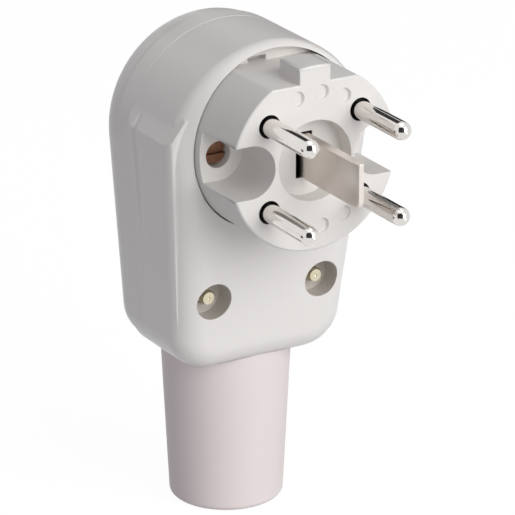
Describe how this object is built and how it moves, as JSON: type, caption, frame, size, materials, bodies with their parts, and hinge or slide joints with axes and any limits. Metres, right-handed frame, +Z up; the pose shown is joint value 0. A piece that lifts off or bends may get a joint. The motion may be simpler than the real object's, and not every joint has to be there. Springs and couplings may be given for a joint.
{
  "type": "angled three-phase plug",
  "caption": "Angled five-pin three-phase plug with a round pin carrier, a two-part moulded housing and a tapered cable sleeve that leaves at a right angle to the pins.",
  "frame": {"origin": "centre of the pin pattern on the front face of the pin carrier", "axes": "-Y the way the pins point, +Z up, away from the cable sleeve, +X to the right when facing along +Y"},
  "size_m": [0.0588, 0.0829, 0.1304],
  "materials": {
    "housing": "smooth light grey moulding",
    "carrier": "smooth light grey moulding",
    "contacts": "bright nickel plating",
    "brass_screws": "bright",
    "bronzed_screws": "dark bronze",
    "steel_screws": "zinc plating",
    "sleeve": "soft satin, warm light grey"
  },
  "bodies": {
    "root": {"front_housing": "housing", "rear_cover": "housing", "pin_carrier": "carrier", "retaining_plate": "carrier", "pin_top_left": "contacts", "pin_top_right": "contacts", "pin_bottom_left": "contacts", "pin_bottom_right": "contacts", "earth_blade": "contacts", "housing_screws": "brass_screws", "carrier_screws": "bronzed_screws", "pin_terminal_screws": "steel_screws", "earth_terminal_screw": "steel_screws", "earth_clamp_washer": "steel_screws", "cord_clamp": "carrier", "cord_clamp_screws": "steel_screws", "cable_sleeve": "sleeve"}
  },
  "joints": []
}
